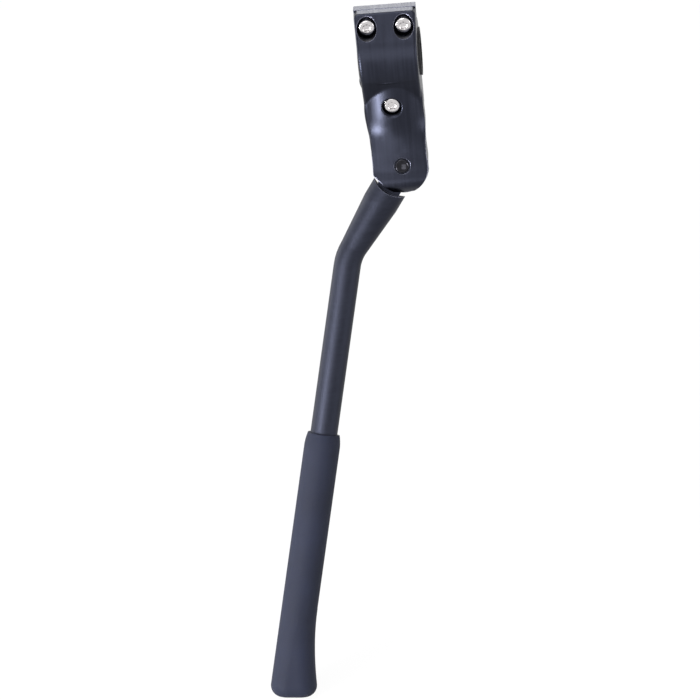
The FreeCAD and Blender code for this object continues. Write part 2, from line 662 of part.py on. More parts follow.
def make_foot_sleeve():
    """Moulded sleeve that lengthens the leg and ends in a toe turned rearward."""
    body = new_body("foot_sleeve", SLEEVE)
    profile = sketch(body, "sleeve_profile", Placement(Vector(), FRONT))
    crown = "((sleeve_crown ^ 2 + (sleeve_radius - sleeve_rim_radius) ^ 2) / 2"
    crown += " / (sleeve_radius - sleeve_rim_radius))"
    outline(profile, [
        ("0", "0"),
        ("sleeve_rim_radius", "0", crown, 1),
        ("sleeve_radius", "sleeve_crown"),
        ("sleeve_radius", "sleeve_length + 3"),
        ("0", "sleeve_length + 3"),
    ])
    revolve(body, "sleeve", profile)
    sections = []
    for index, (along_toe, share) in enumerate(((0, 0.01), (0.3, 0.11), (0.65, 0.47), (1.1, 1.25))):
        height = value(f"toe_start + (sleeve_length - toe_start) * {along_toe}")
        section = sketch(body, f"toe_section_{index}", Placement(Vector(0, 0, height), Rotation()))
        reach = f"toe_reach * {share}"
        sections.append(outline(section, [
            ("0", "sleeve_radius", "sleeve_radius", 1),
            ("-sleeve_radius", "0", "sleeve_radius", 1),
            ("0", "-sleeve_radius"),
            (reach, "-sleeve_radius", "sleeve_radius", 1),
            (f"{reach} + sleeve_radius", "0", "sleeve_radius", 1),
            (reach, "sleeve_radius"),
        ]))
    toe = body.newObject("PartDesign::AdditiveLoft", "toe")
    toe.Profile = sections[0]
    toe.Sections = sections[1:]
    doc.recompute()
    sole = Placement(Vector(0, 0, value("sleeve_length")), Rotation(Vector(0, 1, 0), value("sole_angle")))
    below = Placement(Vector(-BLOCK / 2, -BLOCK / 2, 0), Rotation())
    add(body, "SubtractiveBox", "sole_cut", sole * below, Length=BLOCK, Width=BLOCK, Height=BLOCK)
    normal = sole.Rotation.multVec(Vector(0, 0, 1))
    round_edges(body, "sole_edge", "sole_radius", lambda edge: (
        abs((middle(edge) - sole.Base).dot(normal)) < 0.01))
    add(body, "AdditiveCylinder", "lock_boss", LOCK,
        Radius="lock_boss_radius", Height="sleeve_radius + lock_boss_height")
    add(body, "SubtractiveCylinder", "insert_hole", LOCK, Radius="insert_radius", Height=BLOCK)
    add(body, "SubtractiveCylinder", "leg_bore", along(-1),
        Radius="leg_radius + sleeve_clearance", Height="sleeve_bore_depth + 1")
    return body


def make_lock_insert():
    """Threaded insert moulded in the sleeve's boss."""
    inner = "(leg_radius + sleeve_clearance + 0.6)"
    body = new_body("foot_lock_insert", SLEEVE * LOCK * along(value(inner)))
    add(body, "AdditiveCylinder", "insert_wall", Radius="insert_radius",
        Height=f"sleeve_radius + lock_boss_height - 0.2 - {inner}")
    add(body, "SubtractiveCylinder", "insert_thread", along(-1),
        Radius="lock_screw_radius + thread_clearance", Height=BLOCK)
    return body


def make_lock_screw():
    """Grub screw whose tip bears in the leg's groove."""
    tip = "(leg_radius - groove_depth + tip_clearance)"
    length = f"(sleeve_radius + lock_boss_height - 0.6 - {tip})"
    body = new_body("foot_lock_screw", SLEEVE * LOCK * along(value(tip)))
    add(body, "AdditiveCylinder", "grub", Radius="lock_screw_radius", Height=length)
    add(body, "SubtractivePrism", "grub_socket", along(value(length) - value("socket_depth")),
        Circumradius="socket_flats * 0.625 / sqrt(3)", Height=BLOCK)
    return body


PARTS = [
    make_bracket(),
    make_clamp_jaw(),
    make_liner("bracket_liner", 1),
    make_liner("jaw_liner", -1),
    make_upper_screws(),
    make_screw("lower_clamp_screw", LOWER_SCREW, "lower_screw_length"),
    make_pivot_pin(),
    make_retaining_ring(),
    make_pivot_bush(),
    make_leg(),
    make_detent_plunger(),
    make_detent_spring(),
    make_foot_sleeve(),
    make_lock_insert(),
    make_lock_screw(),
]
doc.removeObject(working.Name)
doc.recompute()

for item in doc.Objects:
    if "Invalid" in item.State or "Error" in item.State:
        raise RuntimeError(f"{item.Label} is {item.State}")
for part in PARTS:
    if part.Shape.isNull() or not part.Shape.isValid():
        raise RuntimeError(f"{part.Label} has no valid shape")

os.makedirs("parts", exist_ok=True)
for part in PARTS:
    part.Shape.exportStep(f"parts/{part.Label}.step")
    print(part.Label, len(part.Shape.Solids), round(part.Shape.Volume, 1))
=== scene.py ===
"""Looks of a bicycle kickstand: finishes, forged bracket, detailed screws, stage and camera.

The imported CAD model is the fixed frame. Lengths are metres, in the model's own frame: the
origin is the centre of the clamped tube, +X runs rearward, -Y outward and +Z up.
"""
import math

import bmesh
import bpy
from mathutils import Matrix, Vector
from mathutils.bvhtree import BVHTree
from mathutils.kdtree import KDTree


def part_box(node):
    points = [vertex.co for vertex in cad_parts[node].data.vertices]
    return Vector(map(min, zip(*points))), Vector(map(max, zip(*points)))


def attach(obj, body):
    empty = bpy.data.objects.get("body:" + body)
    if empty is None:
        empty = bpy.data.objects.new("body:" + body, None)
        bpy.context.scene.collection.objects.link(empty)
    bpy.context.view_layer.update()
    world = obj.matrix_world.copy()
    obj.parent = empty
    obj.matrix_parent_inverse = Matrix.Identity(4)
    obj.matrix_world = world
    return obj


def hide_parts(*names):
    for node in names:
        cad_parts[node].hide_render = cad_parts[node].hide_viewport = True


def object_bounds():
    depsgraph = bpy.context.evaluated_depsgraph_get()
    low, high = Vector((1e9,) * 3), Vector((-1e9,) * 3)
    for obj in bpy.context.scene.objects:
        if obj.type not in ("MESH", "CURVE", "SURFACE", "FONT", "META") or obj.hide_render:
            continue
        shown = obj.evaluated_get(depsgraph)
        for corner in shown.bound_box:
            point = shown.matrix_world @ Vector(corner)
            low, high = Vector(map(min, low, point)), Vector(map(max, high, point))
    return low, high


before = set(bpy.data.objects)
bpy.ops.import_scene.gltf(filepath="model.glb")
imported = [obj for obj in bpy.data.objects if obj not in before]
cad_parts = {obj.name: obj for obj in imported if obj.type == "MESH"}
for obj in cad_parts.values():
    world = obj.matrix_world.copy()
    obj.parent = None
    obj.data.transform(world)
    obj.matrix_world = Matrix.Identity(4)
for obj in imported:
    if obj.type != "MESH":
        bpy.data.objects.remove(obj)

bl_info = {
    "name": "Bicycle kickstand",
    "version": (1, 0, 0),
    "blender": (4, 5, 0),
    "location": "3D View > Sidebar > Kickstand",
    "description": "Finishes and details of a chainstay kickstand, around its CAD model",
    "category": "Object",
}

CAD_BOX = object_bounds()
MM = 0.001
OUTWARD = Vector((0.0, -1.0, 0.0))
SHARP_ANGLE = math.radians(32)      # faces that meet at more than this keep a crisp edge
WELD = 0.001 * MM                   # points of one CAD corner lie closer together than this
SAME_PLACE = 0.004 * MM             # a corner that hasn't moved further keeps its CAD normal,
SAME_FACING = 0.99                  # if its face also keeps its direction, as a cosine


class KickstandColours(bpy.types.PropertyGroup):
    """Colours of the stand's finishes."""

    clamp: bpy.props.FloatVectorProperty(
        name="Clamp", description="Anodised clamp and hinge housing", subtype="COLOR",
        default=(0.023, 0.025, 0.036), min=0.0, max=1.0)
    leg: bpy.props.FloatVectorProperty(
        name="Leg", description="Anodised leg", subtype="COLOR",
        default=(0.023, 0.025, 0.036), min=0.0, max=1.0)
    sleeve: bpy.props.FloatVectorProperty(
        name="Foot sleeve", description="Moulded foot sleeve", subtype="COLOR",
        default=(0.006, 0.008, 0.019), min=0.0, max=1.0)
    steel: bpy.props.FloatVectorProperty(
        name="Screws", description="Polished stainless screws", subtype="COLOR",
        default=(0.60, 0.58, 0.585), min=0.0, max=1.0)
    # Lighter colour on the edges: a painted highlight along the edges, with some wear of the
    # anodising.
    edge: bpy.props.FloatVectorProperty(
        name="Edges", description="Anodising worn thin along the edges", subtype="COLOR",
        default=(0.20, 0.205, 0.27), min=0.0, max=1.0)
    rubber: bpy.props.FloatVectorProperty(
        name="Liners", description="Rubber liners", subtype="COLOR",
        default=(0.018, 0.018, 0.021), min=0.0, max=1.0)
    pin: bpy.props.FloatVectorProperty(
        name="Pivot pin", description="Gloss black pivot pin", subtype="COLOR",
        default=(0.026, 0.026, 0.031), min=0.0, max=1.0)
    spring_steel: bpy.props.FloatVectorProperty(
        name="Spring steel", description="Detent and retaining ring", subtype="COLOR",
        default=(0.42, 0.42, 0.44), min=0.0, max=1.0)
    bronze: bpy.props.FloatVectorProperty(
        name="Bronze", description="Pivot bush and threaded insert", subtype="COLOR",
        default=(0.50, 0.36, 0.17), min=0.0, max=1.0)


class KickstandSizes(bpy.types.PropertyGroup):
    """Sizes of the rounded edges and of the screws' details."""

    edge_round: bpy.props.FloatProperty(
        name="Edge rounding", description="Rounding of the forging's edges", unit="LENGTH",
        default=0.7 * MM, min=0.0)
    sleeve_edge_round: bpy.props.FloatProperty(
        name="Sleeve edge rounding", description="Rounding of the sleeve's edges", unit="LENGTH",
        default=0.4 * MM, min=0.0)
    thread_pitch: bpy.props.FloatProperty(
        name="Thread pitch", description="Pitch of the clamp screws", unit="LENGTH",
        default=0.8 * MM, min=0.2 * MM)
    thread_depth: bpy.props.FloatProperty(
        name="Thread depth", description="Depth of the clamp screws' thread", unit="LENGTH",
        default=0.42 * MM, min=0.0)
    knurl_depth: bpy.props.FloatProperty(
        name="Knurl depth", description="Grooves round the screw heads", unit="LENGTH",
        default=0.12 * MM, min=0.0)
    knurl_ridges: bpy.props.IntProperty(
        name="Knurl ridges", description="Ridges round each screw head", default=32, min=8, max=64)
    socket_flats: bpy.props.FloatProperty(
        name="Socket", description="Screw socket across its flats", unit="LENGTH",
        default=4.0 * MM, min=1.0 * MM)


class KickstandView(bpy.types.PropertyGroup):
    """Where the camera stands."""

    azimuth: bpy.props.FloatProperty(
        name="Azimuth", description="Camera's turn round the stand", subtype="ANGLE",
        default=math.radians(3.5))
    elevation: bpy.props.FloatProperty(
        name="Elevation", description="Camera's height angle", subtype="ANGLE",
        default=math.radians(27.4))
    roll: bpy.props.FloatProperty(
        name="Roll", description="Camera's turn about its own axis", subtype="ANGLE",
        default=math.radians(5.7))
    distance: bpy.props.FloatProperty(
        name="Distance", description="Camera to the stand", unit="LENGTH", default=3.0, min=0.5)
    lens: bpy.props.FloatProperty(
        name="Lens", description="Focal length in millimetres", default=281.3, min=50.0)


SETTINGS = {
    "kickstand_colours": KickstandColours,
    "kickstand_sizes": KickstandSizes,
    "kickstand_view": KickstandView,
}

# The camera circles this point, which then stands off the middle of the picture by these lengths.
TARGET = Vector((-0.025, -0.070, -0.165))
TARGET_IN_VIEW = (-9.6 * MM, 18.0 * MM)


def make_object(name, mesh, body):
    """Link a new piece and let it ride on its body."""
    piece = bpy.data.objects.new(name, mesh)
    bpy.context.scene.collection.objects.link(piece)
    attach(piece, body)
    return piece


class Finish:
    """A node material with one surface shader, built up step by step."""

    NOISE_SPAN = (0.3, 0.7)     # most values of a noise pattern lie between these

    def __init__(self, name, metallic):
        self.material = bpy.data.materials.new(name)
        self.material.use_nodes = True
        self.tree = self.material.node_tree
        self.tree.nodes.clear()
        self.shader = self.add("ShaderNodeBsdfPrincipled")
        self.shader.inputs["Metallic"].default_value = metallic
        output = self.add("ShaderNodeOutputMaterial")
        self.tree.links.new(self.shader.outputs["BSDF"], output.inputs["Surface"])
        self.place = self.add("ShaderNodeTexCoord").outputs["Object"]
        self.normal = None

    def add(self, kind, **values):
        """A node whose inputs are set, or linked to a socket, by name."""
        made = self.tree.nodes.new(kind)
        for name, value in values.items():
            socket = made.inputs[name.replace("_", " ")]
            if isinstance(value, bpy.types.NodeSocket):
                self.tree.links.new(value, socket)
            else:
                socket.default_value = value
        return made

    def noise(self, size, detail, stretch=(1.0, 1.0, 1.0), rough=0.5):
        """Cloudy pattern whose features are about this size, in metres, drawn out by the stretch."""
        mapped = self.add("ShaderNodeMapping", Vector=self.place,
                          Scale=tuple(1.0 / (size * part) for part in stretch))
        made = self.add("ShaderNodeTexNoise", Vector=mapped.outputs["Vector"],
                        Scale=1.0, Detail=detail, Roughness=rough)
        return made.outputs["Fac"]

    def between(self, factor, low, high, start=NOISE_SPAN[0], end=NOISE_SPAN[1]):
        """A number that goes from low to high while the factor goes from start to end."""
        made = self.add("ShaderNodeMapRange", Value=factor, From_Min=start, From_Max=end,
                        To_Min=low, To_Max=high)
        return made.outputs["Result"]

    def colour(self, factor, colour, spread, worn_and_highlit=None):
        """Base colour that wanders about the given one, with a lighter colour on the edges if one is
        given: a painted highlight along the edges, with some wear.
        """
        ramp = self.add("ShaderNodeValToRGB", Fac=factor)
        for stop, share, place in zip(ramp.color_ramp.elements, (-spread, spread), self.NOISE_SPAN):
            stop.position = place
            stop.color = (*(part * (1.0 + share) for part in colour), 1.0)
        tone = ramp.outputs["Color"]
        # The edges get a lighter colour: a painted highlight along them, with some wear.
        if worn_and_highlit:
            mix = self.add("ShaderNodeMixRGB", Fac=self.edges(factor),
                           Color1=tone, Color2=(*worn_and_highlit, 1.0))
            tone = mix.outputs["Color"]
        self.tree.links.new(tone, self.shader.inputs["Base Color"])

    def edges(self, factor):
        """0 off the edges and up to 1 on them, by the rounded normal's lean, broken by a pattern:
        where the painted edge highlight goes.
        """
        flat = self.add("ShaderNodeNewGeometry").outputs["Normal"]
        lean = self.add("ShaderNodeVectorMath")
        lean.operation = "DOT_PRODUCT"
        self.tree.links.new(self.normal, lean.inputs[0])
        self.tree.links.new(flat, lean.inputs[1])
        share = self.between(lean.outputs["Value"], 1.0, 0.0, start=0.84, end=0.97)
        patch = self.add("ShaderNodeMath", Value=share)
        patch.operation = "MULTIPLY"
        self.tree.links.new(self.between(factor, 0.75, 1.0), patch.inputs[1])
        return patch.outputs["Value"]

    def roughness(self, factor, low, high):
        """Roughness that follows the pattern."""
        self.tree.links.new(self.between(factor, low, high), self.shader.inputs["Roughness"])

    def rounded(self, radius):
        """Soften the edges that the light catches."""
        bevel = self.add("ShaderNodeBevel", Radius=radius)
        bevel.samples = 6
        self.normal = bevel.outputs["Normal"]
        self.tree.links.new(self.normal, self.shader.inputs["Normal"])

    def relief(self, factor, depth, strength):
        """Raise the surface with the pattern, by a depth in metres."""
        bump = self.add("ShaderNodeBump", Height=factor, Distance=depth, Strength=strength)
        if self.normal:
            self.tree.links.new(self.normal, bump.inputs["Normal"])
        self.normal = bump.outputs["Normal"]
        self.tree.links.new(self.normal, self.shader.inputs["Normal"])


def anodised_finish(name, colour, worn_and_highlit, edge, roughness, brush):
    """Satin anodised aluminium: fine blasted grain over faint polishing lines, with a painted
    highlight and some wear on the edges.
    """
    made = Finish(name, metallic=1.0)
    cloud = made.noise(14 * MM, detail=4.0)
    streaks = made.noise(1.1 * MM, detail=3.0, stretch=brush)
    lines = made.noise(0.35 * MM, detail=3.0, stretch=brush)
    grain = made.noise(0.16 * MM, detail=2.0)
    mixed = made.add("ShaderNodeMath", Value=streaks)
    mixed.operation = "ADD"
    made.tree.links.new(made.between(cloud, -0.12, 0.12), mixed.inputs[1])
    made.rounded(edge)
    made.colour(mixed.outputs["Value"], colour, spread=0.10, worn_and_highlit=worn_and_highlit)
    made.roughness(mixed.outputs["Value"], roughness - 0.04, roughness + 0.05)
    made.relief(lines, depth=0.012 * MM, strength=0.5)
    made.relief(grain, depth=0.010 * MM, strength=0.6)
    return made.material


def moulded_finish(name, colour, edge):
    """Matte moulded plastic with a fine spark-eroded grain."""
    made = Finish(name, metallic=0.0)
    made.shader.inputs["Specular IOR Level"].default_value = 0.25
    cloud = made.noise(22 * MM, detail=3.0)
    grain = made.noise(0.75 * MM, detail=3.0, rough=0.6)
    speckle = made.add("ShaderNodeMath", Value=cloud)
    speckle.operation = "ADD"
    made.tree.links.new(made.between(grain, -0.16, 0.16), speckle.inputs[1])
    made.colour(speckle.outputs["Value"], colour, spread=0.16)
    made.roughness(grain, 0.70, 0.86)
    made.rounded(edge)
    made.relief(grain, depth=0.11 * MM, strength=0.7)
    return made.material


def polished_finish(name, colour, roughness):
    """Bright turned metal with fine tool marks."""
    made = Finish(name, metallic=1.0)
    cloud = made.noise(2.0 * MM, detail=3.0)
    marks = made.noise(0.12 * MM, detail=2.0)
    made.colour(cloud, colour, spread=0.05)
    made.roughness(cloud, roughness * 0.7, roughness * 1.3)
    made.relief(marks, depth=0.003 * MM, strength=0.4)
    return made.material


def gloss_finish(name, colour, roughness):
    """Gloss black plating over turned steel."""
    made = Finish(name, metallic=1.0)
    cloud = made.noise(1.5 * MM, detail=2.0)
    made.colour(cloud, colour, spread=0.15)
    made.roughness(cloud, roughness * 0.8, roughness * 1.2)
    made.relief(cloud, depth=0.010 * MM, strength=0.3)
    return made.material


def rubber_finish(name, colour):
    """Soft dull rubber."""
    made = Finish(name, metallic=0.0)
    cloud = made.noise(4 * MM, detail=3.0)
    grain = made.noise(0.25 * MM, detail=2.0)
    made.colour(cloud, colour, spread=0.12)
    made.roughness(grain, 0.72, 0.85)
    made.relief(grain, depth=0.03 * MM, strength=0.6)
    return made.material


def finish_nodes(material, *names):
    """Give CAD nodes their finish."""
    for name in names:
        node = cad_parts[name]
        node.data.materials.clear()
        node.data.materials.append(material)


def ring(centre, across, up, radii):
    """Points round a centre, evenly turned, one for each radius."""
    count = len(radii)
    points = []
    for index, radius in enumerate(radii):
        turn = 2.0 * math.pi * index / count
        points.append(centre + (across * math.cos(turn) + up * math.sin(turn)) * radius)
    return points


def mesh_of_rings(name, rings):
    """A closed surface through rings of points, with a point closing each end."""
    shape = bmesh.new()
    rows = [[shape.verts.new(point) for point in points] for points in rings]
    for row, following in zip(rows, rows[1:]):
        for index in range(len(row)):
            after = (index + 1) % len(row)
            shape.faces.new((row[index], row[after], following[after], following[index]))
    for row, flip in ((rows[0], True), (rows[-1], False)):
        middle = sum((vert.co for vert in row), Vector()) / len(row)
        tip = shape.verts.new(middle)
        for index in range(len(row)):
            pair = (row[index], row[(index + 1) % len(row)])
            shape.faces.new((*(reversed(pair) if flip else pair), tip))
    bmesh.ops.recalc_face_normals(shape, faces=shape.faces)
    mesh = bpy.data.meshes.new(name)
    shape.to_mesh(mesh)
    shape.free()
    mesh.shade_smooth()
    mesh.set_sharp_from_angle(angle=SHARP_ANGLE)
    return mesh


def fade(value, start, end):
    """Smooth step from 0 at start to 1 at end."""
    share = min(1.0, max(0.0, (value - start) / (end - start)))
    return share * share * (3.0 - 2.0 * share)


class BarrelFront:
    """Front of the forging's barrel: its y in millimetres over x and z, with one even swell."""

    STEP = 0.5              # grid of the evened surface
    ACROSS = (-16.0, 17.0)
    UP = (-62.0, -4.0)
    WAIST = -31.5           # the CAD barrel is followed up to here and carried on above
    LEAN = 0.08             # how much it goes back for each millimetre above its waist
    REACH = 3.2             # how far up and down it is evened, as a standard deviation
    CLEAR = -60.0           # in front of everything, where the measuring rays start
    BEHIND = -12.0          # taken where there is nothing to measure
    CHIN = (-18.0, -12.0)   # y and z of a point on the chin's underside
    CHIN_SLOPE = 0.46
    FILLET = 0.5            # between barrel and chin

    def __init__(self, tree):
        self.tree = tree
        columns = int((self.ACROSS[1] - self.ACROSS[0]) / self.STEP) + 1
        self.rows = int((self.UP[1] - self.UP[0]) / self.STEP) + 1
        spread = int(2.5 * self.REACH / self.STEP)
        window = range(-spread, spread + 1)
        shares = [math.exp(-0.5 * (step * self.STEP / self.REACH) ** 2) for step in window]
        self.field = []
        for column in range(columns):
            across = self.ACROSS[0] + column * self.STEP
            line = [self.found(across, self.UP[0] + row * self.STEP) for row in range(self.rows)]
            even = []
            for row in range(self.rows):
                near = [line[min(self.rows - 1, max(0, row + step))] for step in window]
                even.append(sum(a * b for a, b in zip(near, shares)) / sum(shares))
            self.field.append(even)

    def found(self, across, up):
        """The CAD surface, with the barrel carried on above its waist."""
        level = min(up, self.WAIST)
        start = Vector((across * MM, self.CLEAR * MM, level * MM))
        hit = self.tree.ray_cast(start, -OUTWARD)[0]
        depth = hit.y / MM if hit else self.BEHIND
        return depth + self.LEAN * (up - level)

    def depth(self, across, up):
        """Barrel or chin, whichever stands further out, with a small fillet between them."""
        place = (across - self.ACROSS[0]) / self.STEP
        height = (up - self.UP[0]) / self.STEP
        column = min(len(self.field) - 2, max(0, int(place)))
        row = min(self.rows - 2, max(0, int(height)))
        place, height = place - column, height - row
        left, right = self.field[column], self.field[column + 1]
        low = left[row] * (1 - height) + left[row + 1] * height
        high = right[row] * (1 - height) + right[row + 1] * height
        barrel = low * (1 - place) + high * place
        chin = self.CHIN[0] - self.CHIN_SLOPE * (up - self.CHIN[1])
        blend = max(0.0, self.FILLET - abs(barrel - chin)) / self.FILLET
        return min(barrel, chin) - blend * blend * self.FILLET / 4


def keep_normals(mesh, source):
    """Face corners that are still where the source has them keep the source's exact normals."""
    near = KDTree(len(source.loops))
    flats = [None] * len(source.loops)
    for face in source.polygons:
        for loop in face.loop_indices:
            near.insert(source.vertices[source.loops[loop].vertex_index].co, loop)
            flats[loop] = face.normal
    near.balance()
    normals = [corner.vector.copy() for corner in mesh.corner_normals]
    for face in mesh.polygons:
        for loop in face.loop_indices:
            place = mesh.vertices[mesh.loops[loop].vertex_index].co
            found = near.find_range(place, SAME_PLACE)
            if found:
                best = max(found, key=lambda entry: flats[entry[1]].dot(face.normal))[1]
                if flats[best].dot(face.normal) > SAME_FACING:
                    normals[loop] = source.corner_normals[best].vector.copy()
    mesh.normals_split_custom_set(normals)


def forged_bracket_mesh(name):
    """The bracket with its barrel rounded into one even swell under an arch below the chin."""
    left, right = -15.6, 16.8       # the reworked front, in millimetres
    bottom, top = -51.5, -8.5
    back = -12.2
    facing = -0.3                   # walls of the bores face less outward than this and stay
    longest = 0.9 * MM              # longer edges are halved, this many times over
    rounds = 4
    shape = bmesh.new()
    shape.from_mesh(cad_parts["bracket"].data)
    bmesh.ops.remove_doubles(shape, verts=shape.verts, dist=WELD)
    front = BarrelFront(BVHTree.FromBMesh(shape))

    def inside(vert):
        x, y, z = vert.co / MM
        return left < x < right and bottom < z < top and y < back and vert.normal.y < facing

    for _ in range(rounds):
        shape.normal_update()
        long_edges = [edge for edge in shape.edges
                      if edge.calc_length() > longest and all(inside(vert) for vert in edge.verts)]
        bmesh.ops.subdivide_edges(shape, edges=long_edges, cuts=1)
        bmesh.ops.triangulate(shape, faces=[face for face in shape.faces if len(face.verts) > 3])
    shape.normal_update()
    for vert in [vert for vert in shape.verts if inside(vert)]:
        x, y, z = vert.co / MM
        # Each pair of numbers: where the change starts, and where it is in full effect.
        sides = fade(x, -15.4, -13.4) * fade(-x, -16.6, -14.6)
        share = sides * fade(z, -51.0, -45.0) * fade(-z, 8.8, 9.8)
        vert.co.y = (y + share * (front.depth(x, z) - y)) * MM
    mesh = bpy.data.meshes.new(name)
    shape.to_mesh(mesh)
    shape.free()
    mesh.shade_smooth()
    mesh.set_sharp_from_angle(angle=SHARP_ANGLE)
    keep_normals(mesh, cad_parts["bracket"].data)
    return mesh


def screw_rings(seat, length, head_radius, head_height, radius, sizes):
    """Rings of a socket head screw from its tip to the bottom of its socket."""
    count = sizes.knurl_ridges * 3
    rings_per_turn = 6
    plain_shank = 1.2 * MM          # without thread, under the head
    crest = 1.25                    # above 1, so that the thread's crest is flat
    tip_radius = (radius - sizes.thread_depth) * 0.9
    chamfer = 0.15 * MM             # under the head and at both ends of the grooves
    groove_low, groove_high = 0.5 * MM, head_height - 1.1 * MM
    crown = 0.5 * MM                # rounding of the head's rim
    countersink = 0.2 * MM
    socket_depth = 2.2 * MM
    across, up = Vector((1.0, 0.0, 0.0)), Vector((0.0, 0.0, 1.0))
    rings = []

    def put(height, radii):
        if not hasattr(radii, "__len__"):
            radii = [radii] * count
        rings.append(ring(seat + OUTWARD * height, across, up, radii))

    def thread(height):
        core = radius - sizes.thread_depth
        taper = min(1.0, max(0.0, (height + length) / sizes.thread_pitch))
        run_out = min(1.0, max(0.0, (-height - plain_shank) / sizes.thread_pitch))
        radii = []
        for index in range(count):
            phase = (height / sizes.thread_pitch + index / count) % 1.0
            ridge = 1.0 - abs(2.0 * phase - 1.0)
            cut = core + (radius - core) * min(1.0, crest * ridge)
            full = cut * run_out + radius * (1.0 - run_out)
            radii.append(min(full, core + (radius - core) * taper))
        return radii

    # The threaded shank, from its tip up.
    steps = int(length / sizes.thread_pitch * rings_per_turn)
    put(-length, tip_radius)
    for step in range(1, steps):
        height = -length + (length - 0.3 * MM) * step / steps
        put(height, thread(height))
    put(-0.1 * MM, radius)
    put(0.0, radius)
    # The head's underside and its grooved side.
    put(0.0, head_radius - chamfer)
    put(chamfer, head_radius)
    groove = [head_radius - sizes.knurl_depth * (index % 3 != 0) for index in range(count)]
    put(groove_low - chamfer, head_radius)
    put(groove_low, groove)
    put(groove_high, groove)
    put(groove_high + chamfer, head_radius)
    # The rounded rim.
    put(head_height - 1.1 * crown, head_radius)
    for turn in (22.5, 45.0, 67.5, 90.0):
        lean = math.radians(turn)
        put(head_height - crown * (1.0 - math.sin(lean)), head_radius - crown * (1.0 - math.cos(lean)))
    # The hexagon socket with its countersunk mouth and drilled bottom.
    apothem = sizes.socket_flats / 2
    hexagon = [apothem / math.cos((2 * math.pi * index / count) % (math.pi / 3) - math.pi / 6)
               for index in range(count)]
    mouth = [max(flat, apothem * 1.12) + 0.05 * MM for flat in hexagon]
    put(head_height, mouth)
    put(head_height - countersink, hexagon)
    put(head_height - socket_depth, hexagon)
    put(head_height - 2.3 * MM, [flat * 0.85 for flat in hexagon])
    put(head_height - 2.48 * MM, 0.2 * MM)
    return rings


class KickstandOperator:
    """Options that the stand's operators share."""

    bl_options = {"REGISTER", "UNDO"}


class KICKSTAND_OT_stage(KickstandOperator, bpy.types.Operator):
    """Set up the floor, the lights, the white surroundings and the camera"""

    bl_idname = "kickstand.stage"
    bl_label = "Stage"

    def execute(self, context):
        """Make the stage."""
        make_floor()
        make_surroundings(context.scene)
        make_lights(context.scene)
        make_camera(context.scene)
        context.scene.view_settings.view_transform = "Standard"
        return {"FINISHED"}


class KICKSTAND_OT_clamp(KickstandOperator, bpy.types.Operator):
    """Build the bracket's forging and finish both halves of the clamp"""

    bl_idname = "kickstand.clamp"
    bl_label = "Clamp"

    def execute(self, context):
        """Anodise both halves of the clamp."""
        colours, sizes = context.scene.kickstand_colours, context.scene.kickstand_sizes
        # The edge colour paints a highlight along the clamp's edges.
        satin = anodised_finish("clamp_anodised", colours.clamp, colours.edge, sizes.edge_round,
                                roughness=0.36, brush=(1.0, 30.0, 30.0))
        finish_nodes(satin, "clamp_jaw")
        forging = make_object("bracket_forging", forged_bracket_mesh("bracket_forging"),
                              "root")
        forging.data.materials.append(satin)
        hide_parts("bracket")
        return {"FINISHED"}


class KICKSTAND_OT_liners(KickstandOperator, bpy.types.Operator):
    """Finish the two rubber liners"""

    bl_idname = "kickstand.liners"
    bl_label = "Liners"

    def execute(self, context):
        """Give the liners their rubber."""
        rubber = rubber_finish("liner_rubber", context.scene.kickstand_colours.rubber)
        finish_nodes(rubber, "bracket_liner", "jaw_liner")
        return {"FINISHED"}


class KICKSTAND_OT_screws(KickstandOperator, bpy.types.Operator):
    """Build the three clamp screws with their knurled heads, sockets and threads"""

    bl_idname = "kickstand.screws"
    bl_label = "Clamp screws"

    def execute(self, context):
        """Put each screw where its CAD node is."""
        colours, sizes = context.scene.kickstand_colours, context.scene.kickstand_sizes
        steel = polished_finish("screw_stainless", colours.steel, roughness=0.16)
        upper_low, upper_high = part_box("upper_clamp_screws")
        lower_low, lower_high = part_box("lower_clamp_screw")
        head_radius = (lower_high.x - lower_low.x) / 2
        head_height = 5.0 * MM
        shank_radius = 2.5 * MM
        rise = (upper_low.z + upper_high.z) / 2
        middle = (lower_low + lower_high) / 2
        places = [
            ("upper_screw_front", upper_low.x + head_radius, rise, upper_low.y, upper_high.y),
            ("upper_screw_rear", upper_high.x - head_radius, rise, upper_low.y, upper_high.y),
            ("lower_screw", middle.x, middle.z, lower_low.y, lower_high.y),
        ]
        for name, across, up, outer, inner in places:
            seat = Vector((across, outer + head_height, up))
            rings = screw_rings(seat, inner - outer - head_height, head_radius, head_height,
                                shank_radius, sizes)
            piece = make_object(name, mesh_of_rings(name, rings), "root")
            piece.data.materials.append(steel)
            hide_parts("lower_clamp_screw" if name == "lower_screw" else "upper_clamp_screws")
        return {"FINISHED"}


class KICKSTAND_OT_hinge(KickstandOperator, bpy.types.Operator):
    """Finish the pivot pin, its ring and bush, and the detent"""

    bl_idname = "kickstand.hinge"
    bl_label = "Hinge"

    def execute(self, context):
        """Give the hinge's small pieces their metals."""
        colours = context.scene.kickstand_colours
        gloss = gloss_finish("pin_gloss_black", colours.pin, roughness=0.12)
        spring = polished_finish("spring_steel", colours.spring_steel, roughness=0.32)
        bronze = polished_finish("bush_bronze", colours.bronze, roughness=0.36)
        finish_nodes(gloss, "pivot_pin")
        finish_nodes(spring, "pin_retaining_ring", "detent_plunger", "detent_spring")
        finish_nodes(bronze, "pivot_bush")
        return {"FINISHED"}


class KICKSTAND_OT_leg(KickstandOperator, bpy.types.Operator):
    """Finish the bent leg"""

    bl_idname = "kickstand.leg"
    bl_label = "Leg"

    def execute(self, context):
        """Anodise the leg, its polishing lines round the bar."""
        colours, sizes = context.scene.kickstand_colours, context.scene.kickstand_sizes
        # The edge colour paints a highlight along the leg's edges.
        satin = anodised_finish("leg_anodised", colours.leg, colours.edge, sizes.edge_round,
                                roughness=0.52, brush=(6.0, 6.0, 1.0))
        finish_nodes(satin, "leg")
        return {"FINISHED"}


